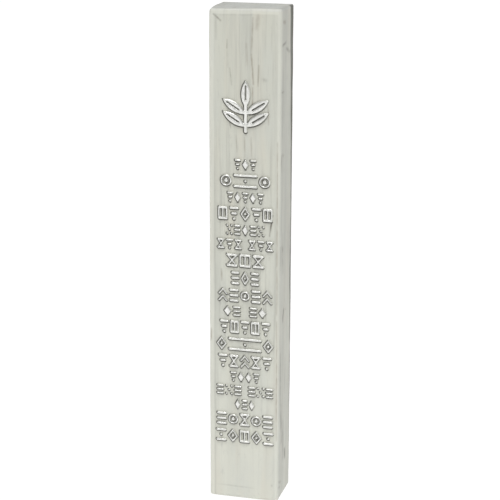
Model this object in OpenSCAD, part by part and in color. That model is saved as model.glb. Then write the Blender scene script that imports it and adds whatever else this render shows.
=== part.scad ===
// Mezuzah case: a cast block that holds a rolled parchment behind a push-in stopper, with a silvered
// relief on its front and a strip of foam tape on its flat back.
// Millimetres. +Z is up, +X is to the viewer's right and +Y runs into the wall.
// The origin is the centre of the tape's outer face, which is the face that meets the door post.

/* [Parchment roll] */
// Height of the parchment sheet, which is the length of the roll
scroll_len = 120; // [60:5:150]
// Diameter of the tightly rolled parchment
scroll_d = 9.7; // [7:0.1:16]
// Diameter of the open middle of the roll
scroll_core_d = 4; // [2:0.5:6]
// Thickness of the film sleeve around the roll
sleeve_t = 0.2; // [0.1:0.05:0.5]
// Gap between the roll and its sleeve
sleeve_gap = 0.05; // [0.02:0.01:0.2]

/* [Case] */
// Gap between the sleeve and the wall of the chamber
scroll_gap = 0.4; // [0.3:0.05:1]
// Free length above and below the roll in the chamber
end_gap = 0.5; // [0.3:0.1:2]
// Radial step from the chamber out to the stopper's seat
seat_step = 0.8; // [0.5:0.1:2]
// Wall in front of and behind the stopper's seat
face_wall = 1.2; // [0.8:0.1:4]
// Wall to the left and right of the stopper's seat
side_wall = 4.45; // [3.5:0.05:10]
// Solid block above the chamber
top_block = 20; // [5:1:40]
// Radius of the case's outer edges
edge_r = 0.8; // [0.3:0.1:1.5]

/* [Stopper] */
// Thickness of the stopper's head
head_t = 1.6; // [1.2:0.1:4]
// Gap around the head in its seat
head_gap = 0.2; // [0.1:0.05:0.5]
// Gap between the head and the step that it closes on
seat_gap = 0.1; // [0.05:0.05:0.3]
// Length of the plug above the head
plug_len = 7.4; // [5:0.1:15]
// Gap between the plug and the chamber
plug_gap = 0.35; // [0.3:0.05:1]
// Gap between the sealing ribs and the chamber
rib_gap = 0.04; // [0.02:0.01:0.08]
// Width of one sealing rib
rib_w = 1.1; // [0.6:0.1:2]
// Number of sealing ribs
rib_count = 2; // [1:1:3]
// Width of the grip bar across the head
grip_w = 2; // [1.4:0.1:4]
// Depth of the two finger pockets beside the grip bar
grip_depth = 0.9; // [0.4:0.1:1]
// Rim left around the finger pockets
grip_rim = 1.2; // [0.8:0.1:2]
// Radius of the fingernail scoop at the edge of the seat
scoop_r = 1.6; // [1:0.1:2]
// Length of the fingernail scoop
scoop_len = 6; // [3:0.5:8]

/* [Wall tape] */
// Thickness of the foam mounting tape
tape_t = 1; // [0.5:0.1:2]
// Distance of the tape from the left and right edges of the back
tape_side = 4.75; // [2:0.25:6]
// Distance of the tape from the top and bottom edges of the back
tape_end = 10; // [3:1:20]

/* [Relief] */
// How far the relief stands out of the front face
relief_h = 0.6; // [0.3:0.1:1]
// Sideways offset of the relief on the face
relief_x = 0.4; // [-1:0.1:1]
// Plain face above the emblem
top_margin = 20.5; // [8:0.5:30]
// Distance of the emblem from the left and right edges of the face
emblem_side = 3.9; // [3:0.1:6]
// Height of the emblem
emblem_h = 15.2; // [10:0.1:20]
// Pairs of leaves on the emblem's stem
leaf_pairs = 2; // [2:1:4]
// Lean of the paired leaves away from the stem, in degrees
leaf_lean = 58; // [45:1:65]
// Gap between two neighbouring leaves
leaf_gap = 0.4; // [0.3:0.05:0.8]
// Thickness of the emblem's stem
stem_t = 1; // [0.8:0.1:2]
// Width of the vein cut into each leaf
vein_t = 0.3; // [0.2:0.05:0.4]
// Plain face between the emblem and the ornament rows
emblem_gap = 7.8; // [3:0.1:12]
// Plain face below the ornament rows
foot_margin = 18.5; // [5:0.5:30]
// Height of a small row as a share of a large row
small_share = 0.75; // [0.6:0.05:1]
// Space between two rows as a share of a large row
space_share = 0.35; // [0.2:0.05:0.6]
// Thickness of the level bars as a share of their row's height
bar_share = 0.19; // [0.15:0.01:0.24]
// Thickness of the thin strokes as a share of their row's height
thin_share = 0.13; // [0.1:0.01:0.2]
// Gap between two motifs of a row
motif_gap = 0.5; // [0.3:0.05:0.8]

/* [Hidden] */
$fn = 64;
// Facets of the large circles that a leaf's two edges lie on
leaf_fn = 180;
// How far a cutting shape passes the surface that it cuts
slop = 1;
// Where a leaf's vein starts and ends, as shares of the leaf's length
vein_from = 0.3;
vein_to = 0.8;
// Rise of a chevron as a share of its row's height
chevron_rise = 0.4;
// Thickness of a stroke's straight run as a share of its round ends
stroke_run = 0.985;
// Radius of the bead in a ring or lozenge as a share of the clear radius around it
bead_share = 0.55;

chamber_d = scroll_d + 2 * (sleeve_gap + sleeve_t + scroll_gap);
seat_d = chamber_d + 2 * seat_step;
seat_depth = head_t + seat_gap;
roll_rise = head_t + plug_len + end_gap;
chamber_depth = roll_rise + scroll_len + end_gap;

case_w = seat_d + 2 * side_wall;
case_d = seat_d + 2 * face_wall;
case_h = chamber_depth + top_block;

case_back = -tape_t;
case_front = case_back - case_d;
bore_y = case_back - case_d / 2;
case_foot = -case_h / 2;

emblem_w = case_w - 2 * emblem_side;
emblem_foot = case_h / 2 - top_margin - emblem_h;
// The paired leaves share out the stem between the emblem's foot and its top leaf.
leaf_rise = emblem_w / 2 / tan(leaf_lean);
leaf_pitch = (emblem_h - leaf_rise) / (leaf_pairs + 1);
leaf_w = leaf_pitch * sin(leaf_lean) - leaf_gap;

// The rows from top to bottom. Each gives its size, how far it stands in from the sides of the face,
// the motifs of its left half with their widths in cells, and its middle, which the two halves share.
LARGE = 1;
SMALL = small_share;
ROWS = [
    [SMALL, 7.5, [["steps", 1]], [["gem", 1]]],
    [LARGE, 3.25, [["ring", 1]], [["twin", 2]]],
    [SMALL, 5.25, [["steps", 1], ["gem", 1]], [["steps", 1]]],
    [LARGE, 2.5, [["window", 1], ["steps", 1]], [["lozenge", 1]]],
    [SMALL, 5, [["beads", 1], ["ladder", 1]], [["gem", 1]]],
    [SMALL, 2.25, [["waist", 1], ["steps", 1], ["waist", 1]], [["blank", 0.6]]],
    [LARGE, 5, [["waist", 1]], [["window", 1]]],
    [LARGE, 6.5, [["ladder", 1]], [["lozenge", 1]]],
    [LARGE, 2.5, [["chevrons", 1], ["ladder", 1]], [["ring", 1]]],
    [SMALL, 4.25, [["gem", 1], ["ladder", 1]], [["blank", 0.8]]],
    [LARGE, 3, [["steps", 1], ["window", 1]], [["steps", 1]]],
    [LARGE, 2, [["lozenge", 1]], [["twin", 3]]],
    [LARGE, 2.5, [["steps", 1], ["waist", 1]], [["chevrons", 1]]],
    [SMALL, 6.25, [["steps", 1], ["gem", 1]], []],
    [SMALL, 2, [["ladder", 1], ["beads", 1], ["ladder", 1]], [["blank", 0.6]]],
    [SMALL, 7.75, [["gem", 1]], [["ladder", 1]]],
    [LARGE, 2, [["ladder", 1], ["ring", 1]], [["waist", 1]]],
    [LARGE, 1.75, [["twin", 1], ["lozenge", 1]], [["window", 1]]],
];
row_count = len(ROWS);

// One large row's height, such that all rows and the spaces between them fill the face between the
// emblem and the plain foot.
large_h = (case_h - top_margin - emblem_h - emblem_gap - foot_margin)
    / (total([for (row = ROWS) row[0]]) + (row_count - 1) * space_share);

function total(list, count = undef) =
    let (n = is_undef(count) ? len(list) : count) n == 0 ? 0 : list[n - 1] + total(list, n - 1);

function row_name(i) = str("ornament_row_", i < 9 ? "0" : "", i + 1);

function row_top(i) =
    emblem_foot - emblem_gap - large_h * (total([for (row = ROWS) row[0]], i) + i * space_share);

// A row's motifs from left to right: the left half, the middle, and the left half mirrored.
function row_cells(i) =
    let (half = ROWS[i][2])
    concat(half, ROWS[i][3], [for (k = [len(half) - 1 : -1 : 0]) half[k]]);

// --- outlines ---------------------------------------------------------------------------------------

module rounded_rect(w, h, r) {
    square([w - 2 * r, h], center = true);
    square([w, h - 2 * r], center = true);
    for (x = [-1, 1], y = [-1, 1]) {
        translate([x * (w / 2 - r), y * (h / 2 - r)]) circle(r);
    }
}

// A straight stroke with round ends of diameter t, from point a to point b. Its straight run is a touch
// thinner than its ends, so that the two meet at a clean corner.
module stroke(a, b, t) {
    run = b - a;
    translate((a + b) / 2) rotate(atan2(run.y, run.x)) square([norm(run), stroke_run * t], center = true);
    for (end = [a, b]) translate(end) circle(d = t);
}

module bar(w, t, y = 0) {
    stroke([(t - w) / 2, y], [(w - t) / 2, y], t);
}

// A pointed leaf from point a to point b, whose widest point is w.
module leaf(a, b, w) {
    run = b - a;
    arc_r = (pow(norm(run), 2) + w * w) / (4 * w);
    translate((a + b) / 2) rotate(atan2(run.y, run.x)) intersection() {
        translate([0, arc_r - w / 2]) circle(arc_r, $fn = leaf_fn);
        translate([0, w / 2 - arc_r]) circle(arc_r, $fn = leaf_fn);
    }
}

// --- motifs, each w wide and h high about its own centre ------------------------------------------------

module twin(w, h) {
    t = h * bar_share;
    for (side = [-1, 1]) bar(w, t, side * (h - t) / 2);
    circle(d = t);
}

module ladder(w, h) {
    t = h * bar_share;
    for (k = [-1 : 1]) bar(w, t, k * (h - t) / 2);
}

module steps(w, h) {
    t = h * bar_share;
    bar(w, t, (h - t) / 2);
    bar((w + t) / 2, t);
    translate([0, (t - h) / 2]) circle(d = t);
}

module lozenge(w, h) {
    t = h * thin_share;
    side = [(w - t) / 2, 0];
    tip = [0, (h - t) / 2];
    for (x = [side, -side], y = [tip, -tip]) stroke(x, y, t);
    clear_r = side.x * tip.y / norm(side - tip) - t / 2;
    circle(clear_r * bead_share);
}

module gem(w, h) {
    polygon([[w / 2, 0], [0, h / 2], [-w / 2, 0], [0, -h / 2]]);
}

module beads(w, h) {
    t = h * bar_share;
    circle(d = t);
    for (x = [-1, 1], y = [-1, 1]) translate([x * (w - t) / 2, y * (h - t) / 2]) circle(d = t);
}

module chevrons(w, h) {
    t = h * thin_share;
    rise = chevron_rise * (h - t);
    for (foot = [(t - h) / 2, (h - t) / 2 - rise], side = [-1, 1]) {
        stroke([side * (w - t) / 2, foot], [0, foot + rise], t);
    }
}

module waist(w, h) {
    t = h * bar_share;
    thin = h * thin_share;
    corner = [(w - t) / 2, (h - t) / 2];
    for (side = [-1, 1]) {
        bar(w, t, side * (h - t) / 2);
        stroke([-corner.x, side * corner.y], [corner.x, -side * corner.y], thin);
    }
}

module window(w, h) {
    t = h * bar_share;
    thin = h * thin_share;
    for (side = [-1, 1]) bar(w, t, side * (h - t) / 2);
    for (k = [-1 : 1]) {
        x = k * (w - thin) / 2;
        stroke([x, (t - h) / 2], [x, (h - t) / 2], thin);
    }
}

module ring(w, h) {
    outer_r = min(w, h) / 2;
    clear_r = outer_r - h * thin_share;
    difference() {
        circle(outer_r);
        circle(clear_r);
    }
    circle(clear_r * bead_share);
}

module motif(name, w, h) {
    if (name == "twin") twin(w, h);
    if (name == "ladder") ladder(w, h);
    if (name == "steps") steps(w, h);
    if (name == "lozenge") lozenge(w, h);
    if (name == "gem") gem(w, h);
    if (name == "beads") beads(w, h);
    if (name == "chevrons") chevrons(w, h);
    if (name == "waist") waist(w, h);
    if (name == "window") window(w, h);
    if (name == "ring") ring(w, h);
}

// --- pieces ------------------------------------------------------------------------------------------

// Stands an outline drawn in X and Y up on the front face and raises it by the relief's height.
module raised() {
    translate([relief_x, case_front, 0]) rotate([90, 0, 0]) linear_extrude(relief_h) children();
}

module chamber_axis() {
    translate([0, bore_y, case_foot]) children();
}

module rounded_block(w, d, h, r) {
    intersection() {
        linear_extrude(h, center = true) rounded_rect(w, d, r);
        rotate([90, 0, 0]) linear_extrude(d + slop, center = true) rounded_rect(w, h, r);
        rotate([90, 0, 90]) linear_extrude(w + slop, center = true) rounded_rect(d, h, r);
    }
}

module case_body() {
    color("#c9c9bd") difference() {
        translate([0, bore_y, 0]) rounded_block(case_w, case_d, case_h, edge_r);
        chamber_axis() {
            translate([0, 0, -slop]) cylinder(d = chamber_d, h = chamber_depth + slop);
            translate([0, 0, -slop]) cylinder(d = seat_d, h = seat_depth + slop);
            translate([seat_d / 2, 0, 0]) rotate([90, 0, 0])
                cylinder(r = scoop_r, h = scoop_len, center = true);
        }
    }
}

// A sprig: pairs of leaves on an upright stem, and one leaf on top.
module emblem_relief() {
    blades = concat(
        [[[0, leaf_pitch * leaf_pairs], [0, emblem_h]]],
        [
            for (k = [0 : leaf_pairs - 1], side = [-1, 1])
                let (foot = leaf_pitch * (k + 0.5))
                [[0, foot], [side * emblem_w / 2, foot + leaf_rise]]
        ]
    );
    color("#e3e3da") raised() translate([0, emblem_foot]) difference() {
        union() {
            stroke([0, stem_t / 2], [0, leaf_pitch * leaf_pairs + stem_t], stem_t);
            for (blade = blades) leaf(blade[0], blade[1], leaf_w);
        }
        for (blade = blades) {
            run = blade[1] - blade[0];
            stroke(blade[0] + vein_from * run, blade[0] + vein_to * run, vein_t);
        }
    }
}

module ornament_row(i) {
    h = ROWS[i][0] * large_h;
    cells = row_cells(i);
    widths = [for (cell = cells) cell[1]];
    row_w = case_w - 2 * ROWS[i][1] + motif_gap;
    cell_w = row_w / total(widths);
    color("#dedfd5") raised() for (k = [0 : len(cells) - 1]) {
        translate([cell_w * (total(widths, k) + widths[k] / 2) - row_w / 2, row_top(i) - h / 2])
            motif(cells[k][0], cell_w * widths[k] - motif_gap, h);
    }
}

module stopper() {
    head_d = seat_d - 2 * head_gap;
    plug_d = chamber_d - 2 * plug_gap;
    rib_d = chamber_d - 2 * rib_gap;
    rib_pitch = plug_len / (rib_count + 0.5);
    pocket_d = head_d - 2 * grip_rim;
    color("#8f8f8a") chamber_axis() difference() {
        union() {
            cylinder(d = head_d, h = head_t);
            cylinder(d = plug_d, h = head_t + plug_len);
            for (k = [1 : rib_count]) {
                translate([0, 0, head_t + rib_pitch * k - rib_w / 2]) cylinder(d = rib_d, h = rib_w);
            }
        }
        difference() {
            translate([0, 0, -slop]) cylinder(d = pocket_d, h = grip_depth + slop);
            cube([grip_w, head_d, 3 * head_t], center = true);
        }
    }
}

module tube(outer_d, inner_d, h) {
    difference() {
        cylinder(d = outer_d, h = h);
        translate([0, 0, -slop]) cylinder(d = inner_d, h = h + 2 * slop);
    }
}

module parchment_scroll() {
    color("#e0d2ae") chamber_axis() translate([0, 0, roll_rise]) tube(scroll_d, scroll_core_d, scroll_len);
}

module scroll_sleeve() {
    inner_d = scroll_d + 2 * sleeve_gap;
    color("#dfe4e4") chamber_axis() translate([0, 0, roll_rise])
        tube(inner_d + 2 * sleeve_t, inner_d, scroll_len);
}

module mounting_tape() {
    tape_w = case_w - 2 * tape_side;
    tape_h = case_h - 2 * tape_end;
    color("#ecece8") translate([-tape_w / 2, case_back, -tape_h / 2]) cube([tape_w, tape_t, tape_h]);
}

case_body();
emblem_relief();
for (i = [0 : row_count - 1]) ornament_row(i);
stopper();
parchment_scroll();
scroll_sleeve();
mounting_tape();
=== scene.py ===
# The looks of a mezuzah case: a hand-finished cast block with a silvered relief, a rubber stopper under
# it, a rolled parchment in a film sleeve inside it and foam tape on its back.
# Lengths are in millimetres until a mesh is made. +Z is up, +X is to the right, +Y runs into the wall.
import math

import bpy
import numpy as np
from mathutils import Matrix, Vector, geometry, kdtree, noise


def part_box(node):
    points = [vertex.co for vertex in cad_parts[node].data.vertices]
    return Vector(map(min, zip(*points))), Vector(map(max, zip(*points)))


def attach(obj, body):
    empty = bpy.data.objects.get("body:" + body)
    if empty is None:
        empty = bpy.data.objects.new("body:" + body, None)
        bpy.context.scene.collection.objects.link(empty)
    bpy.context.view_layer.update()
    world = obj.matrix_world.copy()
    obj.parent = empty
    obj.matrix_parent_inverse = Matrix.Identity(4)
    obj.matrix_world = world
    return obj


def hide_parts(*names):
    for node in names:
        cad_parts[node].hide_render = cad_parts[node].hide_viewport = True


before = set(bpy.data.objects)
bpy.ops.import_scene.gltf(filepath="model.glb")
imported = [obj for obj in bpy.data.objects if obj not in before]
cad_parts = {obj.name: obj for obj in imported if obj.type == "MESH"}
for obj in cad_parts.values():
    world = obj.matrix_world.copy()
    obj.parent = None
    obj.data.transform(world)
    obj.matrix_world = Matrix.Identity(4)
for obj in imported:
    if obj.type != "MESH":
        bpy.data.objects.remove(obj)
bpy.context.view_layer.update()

MM = 0.001
ON_FACE = 0.001
ON_ROUND = 0.01
NOISE_SEED = 7

# Blender seeds noise_vector from the clock, so without this line each run would differ a little.
noise.seed_set(NOISE_SEED)


# --- what the frame says ---


def box_mm(node):
    low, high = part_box(node)
    return np.array(low) / MM, np.array(high) / MM


def node_mesh(node):
    """Points in millimetres and triangles of a CAD node."""
    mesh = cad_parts[node].data
    points = np.empty(len(mesh.vertices) * 3, np.float32)
    mesh.vertices.foreach_get("co", points)
    mesh.calc_loop_triangles()
    triangles = np.empty(len(mesh.loop_triangles) * 3, np.int32)
    mesh.loop_triangles.foreach_get("vertices", triangles)
    return points.reshape(-1, 3).astype(float) / MM, triangles.reshape(-1, 3)


CASE_LOW, CASE_HIGH = box_mm("case_body")
CENTRE = (CASE_LOW + CASE_HIGH) / 2
HALF = (CASE_HIGH - CASE_LOW) / 2
FRONT, BACK, FOOT, TOP = CASE_LOW[1], CASE_HIGH[1], CASE_LOW[2], CASE_HIGH[2]
RELIEF_H = FRONT - box_mm("emblem_relief")[0][1]


def from_axis(points):
    """Distance from the upright line in the middle of the block, which is the chamber's axis."""
    return np.hypot(points[:, 0] - CENTRE[0], points[:, 1] - CENTRE[1])


def radii_of(node):
    return from_axis(node_mesh(node)[0])


def chamber_sizes():
    """Radius and top of the chamber, and radius and top of the stopper's seat, read from the CAD block."""
    height = node_mesh("case_body")[0][:, 2]
    radius = radii_of("case_body")
    seat_r = radius[height < FOOT + ON_ROUND].min()
    on_bore = radius < radius.min() + ON_ROUND
    on_seat = abs(radius - seat_r) < ON_ROUND
    return radius.min(), height[on_bore].max(), seat_r, height[on_seat].max()


CHAMBER_R, CHAMBER_TOP, SEAT_R, SEAT_TOP = chamber_sizes()

# --- mesh helpers ---

CHUNK = 2000
WELD_GRID = 1e4


def fractal(points, size, seed, octaves=2):
    """Smooth noise of about -1 to 1 at each point. size is its wavelength along x, y and z."""
    scaled = np.asarray(points, float) / np.array(size, float) + seed
    return np.array([noise.fractal(Vector(p), 1.0, 2.0, octaves) for p in scaled])


def waves(points, table):
    """Several noises added up, each with its height, wavelengths, seed and octaves."""
    return sum(height * fractal(points, size, seed, octaves) for height, size, seed, octaves in table)


def drift(flat, size, seed):
    """A smooth random shift for each flat point."""
    shift = [noise.noise_vector(Vector((u / size, seed, v / size))) for u, v in flat]
    return np.array([(s.x, s.z) for s in shift])


def smoothstep(low, high, value):
    t = np.clip((value - low) / (high - low), 0, 1)
    return t * t * (3 - 2 * t)


def make_piece(name, body, points, faces, material, stands_for, sharp_deg=None, fields=None):
    """A mesh piece from points in millimetres, which rides on body and stands for CAD nodes."""
    mesh = bpy.data.meshes.new(name)
    mesh.from_pydata((np.asarray(points) * MM).tolist(), [], [list(map(int, f)) for f in faces])
    mesh.validate()
    mesh.polygons.foreach_set("use_smooth", [True] * len(mesh.polygons))
    if sharp_deg is not None:
        mesh.set_sharp_from_angle(angle=math.radians(sharp_deg))
    for field, values in (fields or {}).items():
        attribute = mesh.attributes.new(field, "FLOAT", "POINT")
        attribute.data.foreach_set("value", np.asarray(values, np.float32))
    mesh.materials.append(material)
    mesh.update()
    piece = bpy.data.objects.new(name, mesh)
    bpy.context.scene.collection.objects.link(piece)
    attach(piece, body)
    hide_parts(*stands_for)
    return piece


def segments_of(loops):
    """Start and end points of every edge of closed loops."""
    starts = np.concatenate(loops)
    ends = np.concatenate([np.roll(loop, -1, axis=0) for loop in loops])
    return starts, ends


def inside(points, loops):
    """Which points are inside the loops by the even-odd rule, so a loop in a loop is a hole."""
    starts, ends = segments_of(loops)
    result = np.zeros(len(points), bool)
    for first in range(0, len(points), CHUNK):
        p = points[first : first + CHUNK]
        above_start = starts[None, :, 1] > p[:, None, 1]
        above_end = ends[None, :, 1] > p[:, None, 1]
        rise = ends[:, 1] - starts[:, 1]
        rise[rise == 0] = 1
        share = (p[:, None, 1] - starts[None, :, 1]) / rise
        cross_x = starts[None, :, 0] + share * (ends[:, 0] - starts[:, 0])
        crossed = (above_start != above_end) & (p[:, None, 0] < cross_x)
        result[first : first + CHUNK] = crossed.sum(1) % 2 == 1
    return result


def nearest_edge(points, loops):
    """Distance from each point to the loops, and the unit direction to the nearest point on them."""
    starts, ends = segments_of(loops)
    run = ends - starts
    square = np.maximum((run**2).sum(1), 1e-12)
    distance = np.empty(len(points))
    towards = np.empty((len(points), 2))
    for first in range(0, len(points), CHUNK):
        p = points[first : first + CHUNK]
        along = np.clip(((p[:, None] - starts) * run).sum(2) / square, 0, 1)
        gap = starts + along[:, :, None] * run - p[:, None]
        length = np.linalg.norm(gap, axis=2)
        best = length.argmin(1)
        rows = np.arange(len(p))
        distance[first : first + CHUNK] = length[rows, best]
        towards[first : first + CHUNK] = gap[rows, best]
    return distance, towards / np.maximum(distance, 1e-9)[:, None]


def hex_points(loops, step, margin):
    """Evenly spread points inside loops, at least margin away from them."""
    corner = np.concatenate(loops)
    low, high = corner.min(0), corner.max(0)
    us = np.arange(low[0], high[0], step)
    vs = np.arange(low[1], high[1], step * math.sqrt(3) / 2)
    u, v = np.meshgrid(us, vs)
    u = u + (np.arange(len(vs)) % 2)[:, None] * step / 2
    spread = np.column_stack([u.ravel(), v.ravel()])
    spread = spread[inside(spread, loops)]
    return spread[nearest_edge(spread, loops)[0] > margin]


def fill(loops, extra):
    """Triangles inside loops, by even-odd, through the extra points. The loops' points come first."""
    points = np.concatenate([*loops, extra])
    edges, first = [], 0
    for loop in loops:
        count = len(loop)
        edges += [(first + k, first + (k + 1) % count) for k in range(count)]
        first += count
    made = geometry.delaunay_2d_cdt([Vector(p) for p in points], edges, [], 0, 1e-7)
    assert len(made[0]) == len(points)
    triangles = np.array(made[2])
    return points, triangles[inside(points[triangles].mean(1), loops)]


def lift(flat, axis, value):
    """Flat points as points of the face where axis has that value."""
    return np.insert(flat, axis, value, axis=1)


def stitch(ring_a, ring_b):
    """Quads between two closed rings of as many point numbers."""
    count = len(ring_a)
    return [
        (ring_a[k], ring_a[(k + 1) % count], ring_b[(k + 1) % count], ring_b[k])
        for k in range(count)
    ]


def circle(radius, count):
    """Flat points round the chamber's axis. The radius may be one number or one for each point."""
    turn = np.arange(count) * math.tau / count
    return np.column_stack([CENTRE[0] + radius * np.cos(turn), CENTRE[1] + radius * np.sin(turn)])


def loft(count, rows):
    """Quads between successive rings of count points each."""
    rings = [list(range(k * count, (k + 1) * count)) for k in range(rows)]
    return [quad for low, high in zip(rings, rings[1:]) for quad in stitch(low, high)]


# --- relief ---

KEY_GRID = 1000
OUTLINE_STEP = 0.12
PILLOW_STEP = 0.11
WOBBLE = 0.035
WOBBLE_SIZE = 1.3

# The rubbed-in tone beside an outline, with painted shade that makes it darkest below and left of each
# stroke: the direction where it is darkest, its mean and how much it varies around.
SHADE_TOWARDS = np.array([0.7, 0.714])
TONE_MEAN = 0.5
SHADE_SWING = 0.62

# A stroke's upright wall as a share of its height, how far its base is sunk into the block, how far the
# rubbed-in tone and painted shade climb it, and how much darker its base is painted, as tone and shade at
# its foot.
WALL_SHARE = 0.35
BASE_SINK = 0.2
STROKE_WASH_AND_SHADE_REACH = 0.22
BASE_WASH_AND_SHADE = 0.4

# Dents in the silver: depth as a share of the height, wavelength and seed.
DENTS = [(0.05, 1.6, 2.0), (0.02, 0.4, 5.0)]


def front_loops(node):
    """The closed outlines of a CAD node's front face as x and z, with a slightly uneven edge."""
    points, triangles = node_mesh(node)
    front = points[:, 1].min()
    flat = triangles[(points[triangles][:, :, 1] < front + ON_FACE).all(1)]
    keys = np.round(points[:, [0, 2]] * KEY_GRID).astype(int)
    places, same = np.unique(keys, axis=0, return_inverse=True)
    same = same.ravel()
    directed = {(int(same[t[k]]), int(same[t[(k + 1) % 3]])) for t in flat for k in range(3)}
    after = {a: b for a, b in directed if (b, a) not in directed}
    loops = []
    while after:
        start, here = after.popitem()
        loop = [start]
        while here != start:
            loop.append(here)
            here = after.pop(here)
        loops.append(uneven(finer(places[loop] / KEY_GRID)))
    return loops


def finer(loop):
    """The loop with no edge longer than OUTLINE_STEP."""
    out = []
    for a, b in zip(loop, np.roll(loop, -1, axis=0)):
        pieces = max(1, math.ceil(np.linalg.norm(b - a) / OUTLINE_STEP))
        out += [a + (b - a) * k / pieces for k in range(pieces)]
    return np.array(out)


def uneven(loop):
    return loop + WOBBLE * drift(loop, WOBBLE_SIZE, 3.0)


def outward_normals(loop):
    """Unit normals of a loop's points, away from the shape, which lies to the left of the loop."""
    along = np.roll(loop, -1, axis=0) - np.roll(loop, 1, axis=0)
    normal = np.column_stack([along[:, 1], -along[:, 0]])
    return normal / np.maximum(np.linalg.norm(normal, axis=1), 1e-9)[:, None]


def edge_shade(towards, distance, full, reach):
    """How dark the rubbed-in tone and painted shade are beside an outline: full up to one distance, and
    gone at another. The painted shade makes it darker below and left of a stroke.
    """
    # Painted shade: the tone is darker on the lower left side of each outline.
    side = np.clip(TONE_MEAN + SHADE_SWING * (towards @ SHADE_TOWARDS), 0, 1)
    return side * smoothstep(reach, full, distance)


def relief_piece(name, node, material, shoulder):
    """A half-round raised shape over a CAD node's outlines, closed below the face. Returns the outlines."""
    loops = front_loops(node)
    points, triangles = fill(loops, hex_points(loops, PILLOW_STEP, 0.5 * PILLOW_STEP))
    distance, towards = nearest_edge(points, loops)
    edge_count = sum(map(len, loops))
    distance[:edge_count] = 0
    towards[:edge_count] = np.concatenate([outward_normals(loop) for loop in loops])
    bulge = np.sqrt(1 - (1 - np.clip(distance / shoulder, 0, 1)) ** 2)
    flat = lift(points, 1, FRONT)
    dents = sum(depth * (1 + fractal(flat, (size, 1, size), seed)) for depth, size, seed in DENTS)
    height = RELIEF_H * (WALL_SHARE + (1 - WALL_SHARE) * bulge) * (1 - dents)
    top = flat - np.array([0, 1, 0]) * height[:, None]
    base = flat + np.array([0, BASE_SINK, 0])
    count = len(points)
    faces = [tuple(t) for t in triangles] + [(a + count, c + count, b + count) for a, b, c in triangles]
    first = 0
    for loop in loops:
        ring = list(range(first, first + len(loop)))
        faces += stitch([k + count for k in ring], ring)
        first += len(loop)
    # The silver is darkened towards its edges with rubbed-in tone and painted shade, most on the lower
    # left, and more again at its sunk base.
    tone = edge_shade(-towards, distance, 0.0, STROKE_WASH_AND_SHADE_REACH)
    make_piece(
        name, "case", np.concatenate([top, base]), faces,
        material, [node], fields={"wash_and_shade": np.concatenate([tone, tone + BASE_WASH_AND_SHADE])},
    )
    return loops


# --- the block ---

EDGE_ZONE = 1.0
EDGE_LINES = 5
SIDE_STEP = 0.8
RIM_STEP = 0.4
FACE_STEP = 0.26
RING_GAPS = [0.06, 0.2, 0.34, 0.48]
RING_STRIDE = 2
RING_SLACK = 0.03
BACK_STEP = 2.5
BACK_MARGIN = 1.2
FOOT_STEP = 0.4

MARK_TONE = 1.25
# How much darker both sides are painted all over: painted shade.
SIDE_SHADE = 0.15

# Marks in the surface: the two ends as (across, height above the foot), half the width, the depth, and
# how dark and how brown it is. Across is x on the front, and the depth from the front on a side.
MARKS = {}
MARKS["front"] = [
    ((-9.2, 148.3), (-7.1, 146.3), 0.24, 0.12, 0.6, 0.2),
    ((-5.2, 141.0), (-5.25, 138.6), 0.14, 0.12, 0.6, 0.3),
    ((-5.2, 138.6), (-5.0, 133.0), 0.2, 0.02, 0.12, 0.4),
    ((-8.5, 147.0), (-8.5, 141.0), 0.3, 0.02, 0.16, 0.0),
    ((2.4, 147.5), (2.0, 137.0), 0.22, 0.03, 0.28, 1.0),
    ((2.0, 137.0), (2.6, 128.5), 0.2, 0.03, 0.4, 1.0),
    ((2.4, 127.5), (2.3, 120.0), 0.16, 0.03, 0.35, 1.0),
    ((3.9, 148.0), (3.6, 144.5), 0.6, 0.02, 0.2, 0.7),
    ((4.2, 134.0), (4.0, 128.0), 0.2, 0.02, 0.3, 0.9),
    ((0.5, 140.0), (0.8, 134.0), 0.3, 0.02, 0.16, 0.9),
    ((-4.4, 133.0), (-3.8, 128.0), 0.16, 0.04, 0.35, 0.3),
    ((-5.0, 121.0), (-4.1, 115.5), 0.15, 0.05, 0.5, 0.2),
    ((-2.5, 113.5), (-2.2, 108.5), 0.2, 0.02, 0.22, 0.4),
    ((0.0, 113.0), (0.2, 107.0), 0.2, 0.02, 0.22, 0.8),
    ((2.0, 113.0), (2.1, 107.5), 0.2, 0.02, 0.18, 0.6),
    ((7.0, 122.5), (7.2, 117.0), 0.2, 0.02, 0.2, 1.0),
    ((5.4, 130.0), (6.2, 129.7), 0.5, 0.01, 0.3, 0.0),
    ((8.5, 90.3), (7.7, 84.0), 0.2, 0.12, 0.85, 0.1),
    ((-7.0, 73.0), (-6.8, 69.5), 0.25, 0.02, 0.25, 0.8),
    ((9.9, 112.0), (10.1, 60.0), 0.18, 0.02, 0.28, 1.0),
    ((10.1, 58.0), (10.2, 20.0), 0.18, 0.02, 0.25, 1.0),
    ((-10.3, 54.0), (-10.3, 50.5), 0.25, 0.02, 0.3, 1.0),
    ((8.9, 5.4), (8.9, 5.0), 0.35, 0.04, 0.25, 0.0),
    ((-8.0, 3.9), (3.0, 3.7), 0.25, 0.02, 0.14, 0.1),
]
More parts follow.
